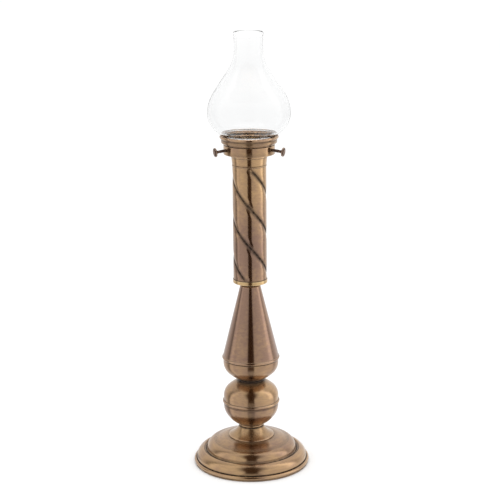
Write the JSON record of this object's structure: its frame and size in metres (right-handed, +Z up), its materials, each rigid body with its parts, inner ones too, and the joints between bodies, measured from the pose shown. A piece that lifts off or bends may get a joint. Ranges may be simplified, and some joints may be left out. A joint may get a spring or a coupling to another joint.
{
  "type": "oil lamp",
  "caption": "Tall column oil lamp: a domed foot, ball, cone and twisted column carry a screw-clamped gallery, a clear glass chimney and a lift-out oil cartridge.",
  "frame": {"origin": "on the lamp's axis, in the plane that the felt under the foot stands on", "axes": "+Z up along the lamp's axis; -Y is the front, with one thumbscrew to each side and the third behind"},
  "size_m": [0.1347, 0.1348, 0.502],
  "materials": {
    "antique_brass": "spun and brushed, with a brown patina, lacquered",
    "bright_brass": "polished with a light patina",
    "dark_bronze": "dark patina, satin",
    "clear_glass": "clear, blown",
    "cast_iron": "as cast",
    "green_felt": "wool felt",
    "zinc_steel": "zinc plated",
    "cork": "pressed cork",
    "cartridge_metal": "drawn, satin",
    "burner_brass": "turned",
    "gasket_rubber": "matt",
    "wick_cotton": "braided cotton"
  },
  "bodies": {
    "stand": {"felt_pad": "green_felt", "base_weight": "cast_iron", "base_shell": "antique_brass", "foot_collar": "antique_brass", "ball_lower_shell": "antique_brass", "ball_upper_shell": "antique_brass", "neck_spacer": "dark_bronze", "cone_bowl": "antique_brass", "cone_shell": "antique_brass", "column_spindle": "dark_bronze", "column_cup": "bright_brass", "column_tube": "antique_brass", "column_neck": "antique_brass", "gallery": "antique_brass", "cartridge_seat": "cork", "tie_rod": "zinc_steel", "base_washer": "zinc_steel", "base_nut": "zinc_steel", "column_washer": "zinc_steel", "column_nut": "zinc_steel"},
    "chimney": {"chimney_glass": "clear_glass"},
    "cartridge": {"oil_cartridge": "cartridge_metal"},
    "burner": {"burner_cap": "burner_brass", "cap_gasket": "gasket_rubber", "wick_tube": "burner_brass"},
    "wick": {"wick": "wick_cotton"},
    "screw_left": {"thumbscrew_left": "dark_bronze"},
    "screw_right": {"thumbscrew_right": "dark_bronze"},
    "screw_rear": {"thumbscrew_rear": "dark_bronze"}
  },
  "joints": [
    {"name": "chimney_lift", "type": "slide", "parent": "stand", "child": "chimney", "axis": [0, 0, 1], "range_m": [0, 0.14]},
    {"name": "cartridge_lift", "type": "slide", "parent": "stand", "child": "cartridge", "axis": [0, 0, 1], "range_m": [0, 0.06]},
    {"name": "cap_turn", "type": "hinge", "parent": "cartridge", "child": "burner", "pos_m": [0, 0, 0.355], "axis": [0, 0, 1], "range_deg": [0, 450]},
    {"name": "wick_feed", "type": "slide", "parent": "burner", "child": "wick", "axis": [0, 0, 1], "range_m": [-0.004, 0.004]},
    {"name": "left_screw_feed", "type": "slide", "parent": "stand", "child": "screw_left", "axis": [-0.9151, -0.3884, -0.108], "range_m": [-0.0023, 0.0006]},
    {"name": "right_screw_feed", "type": "slide", "parent": "stand", "child": "screw_right", "axis": [0.9151, -0.3884, -0.108], "range_m": [-0.0023, 0.0006]},
    {"name": "rear_screw_feed", "type": "slide", "parent": "stand", "child": "screw_rear", "axis": [0, 0.9942, -0.108], "range_m": [-0.0023, 0.0006]}
  ]
}
